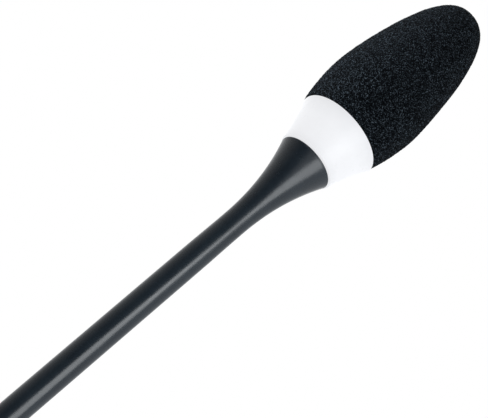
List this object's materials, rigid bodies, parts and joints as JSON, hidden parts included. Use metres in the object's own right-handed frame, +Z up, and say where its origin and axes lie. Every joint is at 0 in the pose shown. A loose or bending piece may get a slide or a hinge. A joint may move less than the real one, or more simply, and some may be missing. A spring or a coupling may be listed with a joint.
{
  "type": "desktop microphone",
  "caption": "Desktop gooseneck microphone: weighted base with a lit talk button, a bendable stem, and a foam-covered head above a white light ring.",
  "frame": {"origin": "centre of the rubber sole's underside, on the surface the base stands on", "axes": "+Z up; -Y towards the talker, where the talk button is and the head leans; X=0 is the plane of symmetry of the stem and casing, with +X on the talker's right as they face the base"},
  "size_m": [0.116, 0.2707, 0.376],
  "materials": {
    "base_shell": "satin",
    "rubber": "matte",
    "silicone": "matte",
    "steel": "satin",
    "circuit_board": "satin",
    "dark_plastic": "matte",
    "light_diffuser": "satin",
    "led": "gloss",
    "button_cap": "satin",
    "contact_brass": "polished",
    "stem_black": "satin",
    "gooseneck_black": "satin",
    "head_black": "satin",
    "core_alloy": "satin",
    "capsule_metal": "polished",
    "film": "gloss",
    "lead_sheath": "satin",
    "foam": "matte"
  },
  "bodies": {
    "base": {"sole_pad": "rubber", "base_plate": "steel", "base_shell": "base_shell", "case_screws": "steel", "control_board": "circuit_board", "board_screws": "steel", "board_chips": "dark_plastic", "tact_switch": "dark_plastic", "button_leds": "led", "button_light_ring": "light_diffuser", "button_carrier": "dark_plastic", "button_dome": "silicone", "rear_board": "circuit_board", "rear_spacers": "contact_brass", "rear_screws": "steel", "usb_socket": "steel", "mode_switch_body": "steel", "socket_bushing": "stem_black", "bushing_washer": "steel", "bushing_nut": "steel", "socket_insulator": "dark_plastic", "socket_contacts": "contact_brass", "socket_lead": "lead_sheath", "plug_shell": "stem_black", "plug_insulator": "dark_plastic", "plug_pins": "contact_brass"},
    "talk_button": {"talk_button": "button_cap"},
    "mode_slider": {"mode_switch_slider": "dark_plastic"},
    "locking_ring": {"locking_ring": "stem_black"},
    "link_01": {"gooseneck_link_01": "gooseneck_black"},
    "link_02": {"gooseneck_link_02": "gooseneck_black"},
    "link_03": {"gooseneck_link_03": "gooseneck_black"},
    "link_04": {"gooseneck_link_04": "gooseneck_black"},
    "link_05": {"gooseneck_link_05": "gooseneck_black"},
    "link_06": {"gooseneck_link_06": "gooseneck_black"},
    "link_07": {"gooseneck_link_07": "gooseneck_black"},
    "link_08": {"gooseneck_link_08": "gooseneck_black"},
    "link_09": {"gooseneck_link_09": "gooseneck_black"},
    "link_10": {"gooseneck_link_10": "gooseneck_black"},
    "head": {"upper_ferrule": "stem_black", "stem_tube": "stem_black", "head_housing": "head_black", "light_ring": "light_diffuser", "head_core": "core_alloy", "led_board": "circuit_board", "head_leds": "led", "seat_plate": "dark_plastic", "capsule_grille": "stem_black", "grille_gauze": "steel", "capsule_cradle": "rubber", "capsule_can": "capsule_metal", "capsule_diaphragm": "film", "capsule_backplate": "contact_brass", "capsule_board": "circuit_board", "mic_lead": "lead_sheath"},
    "windscreen": {"windscreen": "foam"}
  },
  "joints": [
    {"name": "talk_press", "type": "slide", "parent": "base", "child": "talk_button", "axis": [0, 0.0929, -0.9957], "range_m": [0, 0.0015], "stiffness_N_per_m": 900, "springref_m": -0.0015, "deforming": ["button_dome"]},
    {"name": "mode_slide", "type": "slide", "parent": "base", "child": "mode_slider", "axis": [1, 0, 0], "range_m": [0, 0.0032]},
    {"name": "locking_ring_turn", "type": "hinge", "parent": "base", "child": "locking_ring", "pos_m": [0, 0.04, 0.053], "axis": [0, 0, 1], "range_deg": [0, 60]},
    {"name": "gooseneck_bend", "type": "hinge", "parent": "base", "child": "link_01", "pos_m": [0, 0.04, 0.076], "axis": [1, 0, 0], "range_deg": [-10, 10]},
    {"name": "gooseneck_sway", "type": "hinge", "parent": "link_01", "child": "link_02", "pos_m": [0, 0.03911, 0.08847], "axis": [0, 0.9943, 0.1069], "range_deg": [-12, 12]},
    {"name": "gooseneck_bend_2", "type": "hinge", "parent": "link_02", "child": "link_03", "pos_m": [0, 0.03733, 0.10084], "axis": [1, 0, 0], "range_deg": [-10, 10]},
    {"name": "gooseneck_sway_2", "type": "hinge", "parent": "link_03", "child": "link_04", "pos_m": [0, 0.03467, 0.11306], "axis": [0, 0.9689, 0.2473], "range_deg": [-12, 12]},
    {"name": "gooseneck_bend_3", "type": "hinge", "parent": "link_04", "child": "link_05", "pos_m": [0, 0.03115, 0.12505], "axis": [1, 0, 0], "range_deg": [-10, 10]},
    {"name": "gooseneck_sway_3", "type": "hinge", "parent": "link_05", "child": "link_06", "pos_m": [0, 0.02678, 0.13676], "axis": [0, 0.9239, 0.3827], "range_deg": [-12, 12]},
    {"name": "gooseneck_bend_4", "type": "hinge", "parent": "link_06", "child": "link_07", "pos_m": [0, 0.02159, 0.14813], "axis": [1, 0, 0], "range_deg": [-10, 10]},
    {"name": "gooseneck_sway_4", "type": "hinge", "parent": "link_07", "child": "link_08", "pos_m": [0, 0.0156, 0.1591], "axis": [0, 0.86, 0.5103], "range_deg": [-12, 12]},
    {"name": "gooseneck_bend_5", "type": "hinge", "parent": "link_08", "child": "link_09", "pos_m": [0, 0.00884, 0.16962], "axis": [1, 0, 0], "range_deg": [-10, 10]},
    {"name": "gooseneck_sway_5", "type": "hinge", "parent": "link_09", "child": "link_10", "pos_m": [0, 0.00135, 0.17962], "axis": [0, 0.7786, 0.6275], "range_deg": [-12, 12]},
    {"name": "gooseneck_bend_6", "type": "hinge", "parent": "link_10", "child": "head", "pos_m": [0, -0.00684, 0.18907], "axis": [1, 0, 0], "range_deg": [-10, 10]},
    {"name": "windscreen_pull", "type": "slide", "parent": "head", "child": "windscreen", "axis": [0, -0.7071, 0.7071], "range_m": [0, 0.045]}
  ]
}
